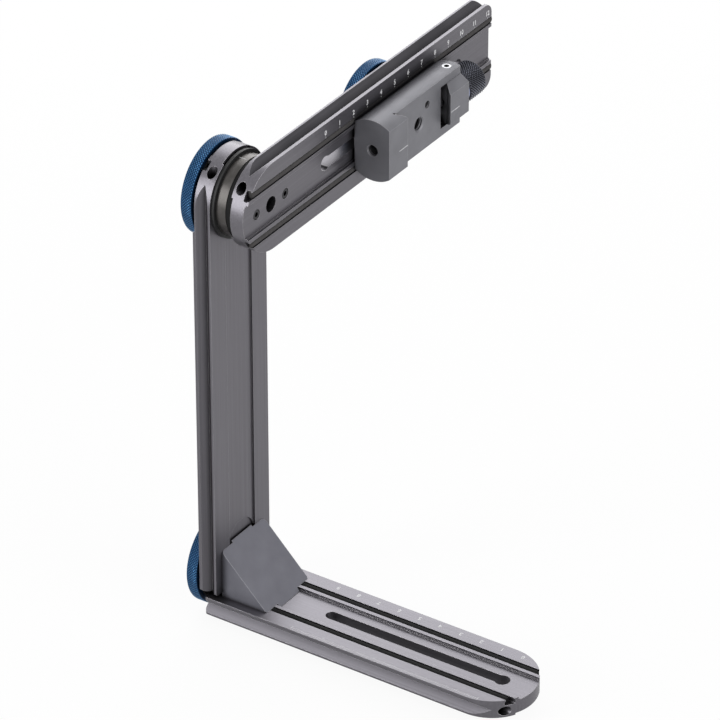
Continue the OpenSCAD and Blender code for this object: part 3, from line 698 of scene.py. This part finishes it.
# The jaw's knob is turned, diamond knurled over its length and anodised dark blue-black. It is
# pinned to the spindle, which draws the jaw in.
jaw_low, jaw_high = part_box("jaw_knob")
jaw_length, jaw_r = (jaw_high.y - jaw_low.y) / MM, (jaw_high.z - jaw_low.z) / 2 / MM
bore_r, end_mid, jaw_chamfer = 2.5, 5.5, 0.6
jaw_inner = [(bore_r, 0.0), (end_mid, 0.0), (jaw_r - jaw_chamfer, 0.0)]
jaw_rim = jaw_r, np.linspace(jaw_chamfer, jaw_length - jaw_chamfer, 60)
jaw_outer = [(jaw_r - jaw_chamfer, jaw_length), (end_mid, jaw_length), (bore_r, jaw_length)]
jaw_foot = Vector(((jaw_low.x + jaw_high.x) / 2, jaw_low.y, (jaw_low.z + jaw_high.z) / 2))
at_jaw = Matrix.Translation(jaw_foot) @ to_far
jaw_knob = knurled_ring(
    "jaw_knob_knurled",
    jaw_inner,
    jaw_rim,
    jaw_outer,
    at_jaw,
    edge_share=0.2,
    teeth=38,
    depth=0.45,
)
jaw_knob.data.materials.append(
    anodised_knurl("Dark_anodised_diamond_knurl", "#0d0d11", "#9a9dac", rough=0.36, crest=2.5)
)
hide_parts("jaw_knob")
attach(jaw_knob, "jaw_screw")


# The upper rail's scale is printed white on its front: plain numbers each 10 mm, with a short tick.
# The ink is baked, and so thin that it is a sheet just over the anodised face.
def white_print(name):
    """Baked white ink: matt, with thin spots 0.5 mm wide."""
    made, tree, shader, grid = start_finish(name)
    spots_per_mm = 2.0
    thin = add_node(
        tree, "ShaderNodeTexNoise", {"Vector": grid, "Scale": spots_per_mm, "Detail": 2.0}
    )
    tone = mottle(tree, thin.outputs["Fac"], paint("#c9c9cc"), paint("#e9e9ea"))
    relief = add_node(
        tree,
        "ShaderNodeBump",
        {"Height": thin.outputs["Fac"], "Strength": 0.1, "Distance": 0.01 * MM},
    )
    lay_finish(tree, shader, tone, relief, thin.outputs["Fac"], shiny=0.5, dull=0.65)
    return made


ink = white_print("Printed_white_ink")
ink_lift = 0.02 * MM
digit_size, digit_weight = 2.9, 0.07


def printed(name, numbers, bars, to_frame, body):
    """Joins numbers and bars, laid out flat in millimetres, into one thin sheet. A number is its
    word and the place of its middle, and a bar is where it starts and ends in x and in y."""
    used = 4 * len(bars)
    bar_corners = np.array(bars)[:, [0, 2, 1, 2, 1, 3, 0, 3]].reshape(-1, 2)
    corners = [np.column_stack([bar_corners, np.zeros(used)])]
    faces = np.arange(used).reshape(-1, 4).tolist()
    for word, x, y in numbers:
        curve = bpy.data.curves.new(name + "_number", "FONT")
        curve.body, curve.size, curve.offset = word, digit_size, digit_weight
        curve.align_x, curve.align_y, curve.resolution_u = "CENTER", "CENTER", 4
        letter = bpy.data.objects.new(name + "_number", curve)
        bpy.context.scene.collection.objects.link(letter)
        bpy.context.view_layer.update()
        flat = bpy.data.meshes.new_from_object(letter)
        flat.calc_loop_triangles()
        outline = np.empty(3 * len(flat.vertices), np.float32)
        flat.vertices.foreach_get("co", outline)
        corners.append(outline.reshape(-1, 3) + np.array([x, y, 0.0]))
        filled = np.empty(3 * len(flat.loop_triangles), np.int32)
        flat.loop_triangles.foreach_get("vertices", filled)
        faces += (filled.reshape(-1, 3) + used).tolist()
        used += len(flat.vertices)
        bpy.data.objects.remove(letter)
        bpy.data.meshes.remove(flat)
        bpy.data.curves.remove(curve)
    sheet = np.concatenate(corners) * MM
    placed = sheet @ np.array(to_frame.to_3x3()).T + np.array(to_frame.translation)
    mesh = bpy.data.meshes.new(name)
    mesh.from_pydata(placed.tolist(), [], faces)
    mesh.materials.append(ink)
    mesh.update()
    made = bpy.data.objects.new(name, mesh)
    bpy.context.scene.collection.objects.link(made)
    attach(made, body)


on_front = Matrix(((0, 0, 1), (1, 0, 0), (0, 1, 0))).to_4x4()
upper_zero, upper_row, tick_half = 36.84, 15.2, 0.09
tick_from, tick_to = 12.9, 13.6
numbers = [(str(i), upper_zero + 10 * i, upper_row) for i in range(13)]
ticks = [(x - tick_half, x + tick_half, tick_from, tick_to) for _, x, _ in numbers]
printed(
    "upper_scale",
    numbers,
    ticks,
    Matrix.Translation((rail_front + ink_lift, 0, tilt_z)) @ on_front,
    "tilt_arm",
)


# The lower rail's scale is printed on its top: plain numbers each 10 mm on one land, and fine ticks
# each millimetre along the other, a longer one at each fifth.
on_top = Matrix(((-1, 0, 0), (0, -1, 0), (0, 0, 1))).to_4x4()
lower_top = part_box("lower_rail")[1].z
lower_zero, lower_row = -126.67, -16.4
first_tick, tick_foot, long_tick, short_tick = -126.57, 18.9, 1.8, 1.3
numbers = [(str(i), 10 * i + lower_zero, lower_row) for i in range(10)]
tick = np.arange(91)
tick_length = np.where(tick % 5 == 0, long_tick, short_tick)
ticks = np.column_stack(
    [
        tick + first_tick - tick_half,
        tick + first_tick + tick_half,
        tick_foot - tick_length,
        np.full(len(tick), tick_foot),
    ]
)
printed(
    "lower_scale",
    numbers,
    ticks,
    Matrix.Translation((0, 0, lower_top + ink_lift)) @ on_top,
    "base",
)


# The hub's index line lies across the turned rim, almost at the top, and turns with the upper rail.
# It is printed in the same white ink.
line_turn = np.radians(-2.5)
sine, cosine = np.sin(line_turn), np.cos(line_turn)
on_rim = Matrix(((0, 1, 0), (-cosine, 0, sine), (sine, 0, cosine))).to_4x4()
line_foot = Vector((0, sine, cosine)) * (hub_r + ink_lift)
line_half, from_ring, from_spacer = 0.14, 0.1, 0.9
line_start, line_end = hub_low.x / MM + from_ring, hub_high.x / MM - from_spacer
printed(
    "hub_index_line",
    [],
    [(-line_half, line_half, line_start, line_end)],
    Matrix.Translation(Vector((0, 0, tilt_z)) + line_foot) @ on_rim,
    "tilt_arm",
)


# The clamp and its moving jaw each have one white line on the front, printed a little below the
# middle in the same ink.
jaw_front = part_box("clamp_jaw")[1].x
line_low, line_high = -1.33, -1.07
fixed_from, fixed_to, moving_from, moving_to = 64.9, 70.9, 103.1, 109.7
printed(
    "fixed_jaw_line",
    [],
    [(fixed_from, fixed_to, line_low, line_high)],
    Matrix.Translation((body_high.x + ink_lift, 0, tilt_z)) @ on_front,
    "clamp",
)
printed(
    "moving_jaw_line",
    [],
    [(moving_from, moving_to, line_low, line_high)],
    Matrix.Translation((jaw_front + ink_lift, 0, tilt_z)) @ on_front,
    "jaw",
)


# Studio: a pale floor just under the object. The camera sees it nearly white, metal and glass see
# three tenths of that, and the object's shadow stays on it.
floor_half, floor_gap = 4.0, 0.6 * MM
floor_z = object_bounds()[0].z - floor_gap
floor_mesh = bpy.data.meshes.new("floor")
floor_mesh.from_pydata(
    [
        (-floor_half, -floor_half, floor_z),
        (floor_half, -floor_half, floor_z),
        (floor_half, floor_half, floor_z),
        (-floor_half, floor_half, floor_z),
    ],
    [],
    [(0, 1, 2, 3)],
)
floor = bpy.data.objects.new("floor", floor_mesh)
bpy.context.scene.collection.objects.link(floor)
floor_paint = bpy.data.materials.new("Pale_floor")
floor_paint.use_nodes = True
floor_tree = floor_paint.node_tree
floor_tree.nodes.clear()
camera_share, metal_share = 0.93, 0.3
ray = add_node(floor_tree, "ShaderNodeLightPath", {})
veiled = add_node(
    floor_tree,
    "ShaderNodeMath",
    {0: ray.outputs["Is Camera Ray"], 1: camera_share},
    operation="MULTIPLY",
)
mirrored = add_node(
    floor_tree,
    "ShaderNodeMath",
    {0: ray.outputs["Is Glossy Ray"], 1: ray.outputs["Is Transmission Ray"]},
    operation="MAXIMUM",
)
partly = add_node(
    floor_tree,
    "ShaderNodeMath",
    {0: mirrored.outputs["Value"], 1: metal_share},
    operation="MULTIPLY",
)
shown = add_node(
    floor_tree,
    "ShaderNodeMath",
    {0: veiled.outputs["Value"], 1: partly.outputs["Value"]},
    operation="MAXIMUM",
)
matt = add_node(floor_tree, "ShaderNodeBsdfDiffuse", {"Color": paint("#f2f2f2")})
glow = add_node(floor_tree, "ShaderNodeEmission", {"Color": paint("#ffffff"), "Strength": 1.0})
pick = add_node(
    floor_tree,
    "ShaderNodeMixShader",
    {0: shown.outputs["Value"], 1: matt.outputs["BSDF"], 2: glow.outputs["Emission"]},
)
add_node(floor_tree, "ShaderNodeOutputMaterial", {"Surface": pick.outputs["Shader"]})
floor_mesh.materials.append(floor_paint)


# A white surround stands behind it all. The camera, metal and glass see it white, and it lights the
# object at four tenths of that.
world = bpy.data.worlds.new("White_surround")
bpy.context.scene.world = world
world.use_nodes = True
world_tree = world.node_tree
world_tree.nodes.clear()
ray = add_node(world_tree, "ShaderNodeLightPath", {})
seen = add_node(
    world_tree,
    "ShaderNodeMath",
    {0: ray.outputs["Is Camera Ray"], 1: ray.outputs["Is Glossy Ray"]},
    operation="MAXIMUM",
)
shown = add_node(
    world_tree,
    "ShaderNodeMath",
    {0: seen.outputs["Value"], 1: ray.outputs["Is Transmission Ray"]},
    operation="MAXIMUM",
)
room = add_node(world_tree, "ShaderNodeBackground", {"Color": paint("#ffffff"), "Strength": 0.4})
white = add_node(world_tree, "ShaderNodeBackground", {"Color": paint("#ffffff"), "Strength": 1.0})
pick = add_node(
    world_tree,
    "ShaderNodeMixShader",
    {0: shown.outputs["Value"], 1: room.outputs["Background"], 2: white.outputs["Background"]},
)
add_node(world_tree, "ShaderNodeOutputWorld", {"Surface": pick.outputs["Shader"]})


# Three large soft boxes stand at the back, at the left and at the right, and give the upward faces
# and the round ends their pale shine.
def soft_box(name, direction, wide, tall, radiance):
    """A lamp 1.3 m off that faces the middle of the object. Its power is pi times its area times
    its radiance."""
    middle, distance = Vector((0.03, 0.05, 0.1)), 1.3
    lamp = bpy.data.lights.new(name, "AREA")
    lamp.shape = "RECTANGLE"
    lamp.size, lamp.size_y = wide, tall
    lamp.energy = float(np.pi) * wide * tall * radiance
    made = bpy.data.objects.new(name, lamp)
    bpy.context.scene.collection.objects.link(made)
    toward = Vector(direction).normalized()
    made.location = middle + toward * distance
    made.rotation_mode = "QUATERNION"
    made.rotation_quaternion = toward.to_track_quat("Z", "Y")
    made.visible_camera = False


soft_box("back_box", (-0.55, 0.68, 0.50), wide=1.1, tall=1.1, radiance=2.8)
soft_box("left_box", (-0.47, -0.82, 0.30), wide=0.45, tall=0.85, radiance=6.0)
soft_box("right_box", (0.90, -0.10, 0.42), wide=1.2, tall=1.2, radiance=2.2)


# The camera stands in front and to the right, above the object, with a long lens. Its place and its
# turn are those of the photograph.
lens = bpy.data.cameras.new("camera")
lens.lens = 268.313
lens.sensor_width = 36.0
lens.clip_start, lens.clip_end = 0.1, 20.0
camera = bpy.data.objects.new("camera", lens)
bpy.context.scene.collection.objects.link(camera)
stand = (1.058245, -1.5036296, 1.2639169)
yaw, pitch, roll = np.radians([33.6279, -32.0026, -0.0452])
ahead = np.array([-np.sin(yaw) * np.cos(pitch), np.cos(yaw) * np.cos(pitch), np.sin(pitch)])
level_right = np.array([np.cos(yaw), np.sin(yaw), 0.0])
level_up = np.cross(level_right, ahead)
right = np.cos(roll) * level_right + np.sin(roll) * level_up
above = -np.sin(roll) * level_right + np.cos(roll) * level_up
turned = Matrix(np.column_stack([right, above, -ahead]).tolist()).to_4x4()
camera.matrix_world = Matrix.Translation(stand) @ turned
bpy.context.scene.camera = camera
bpy.context.scene.view_settings.view_transform = "Standard"
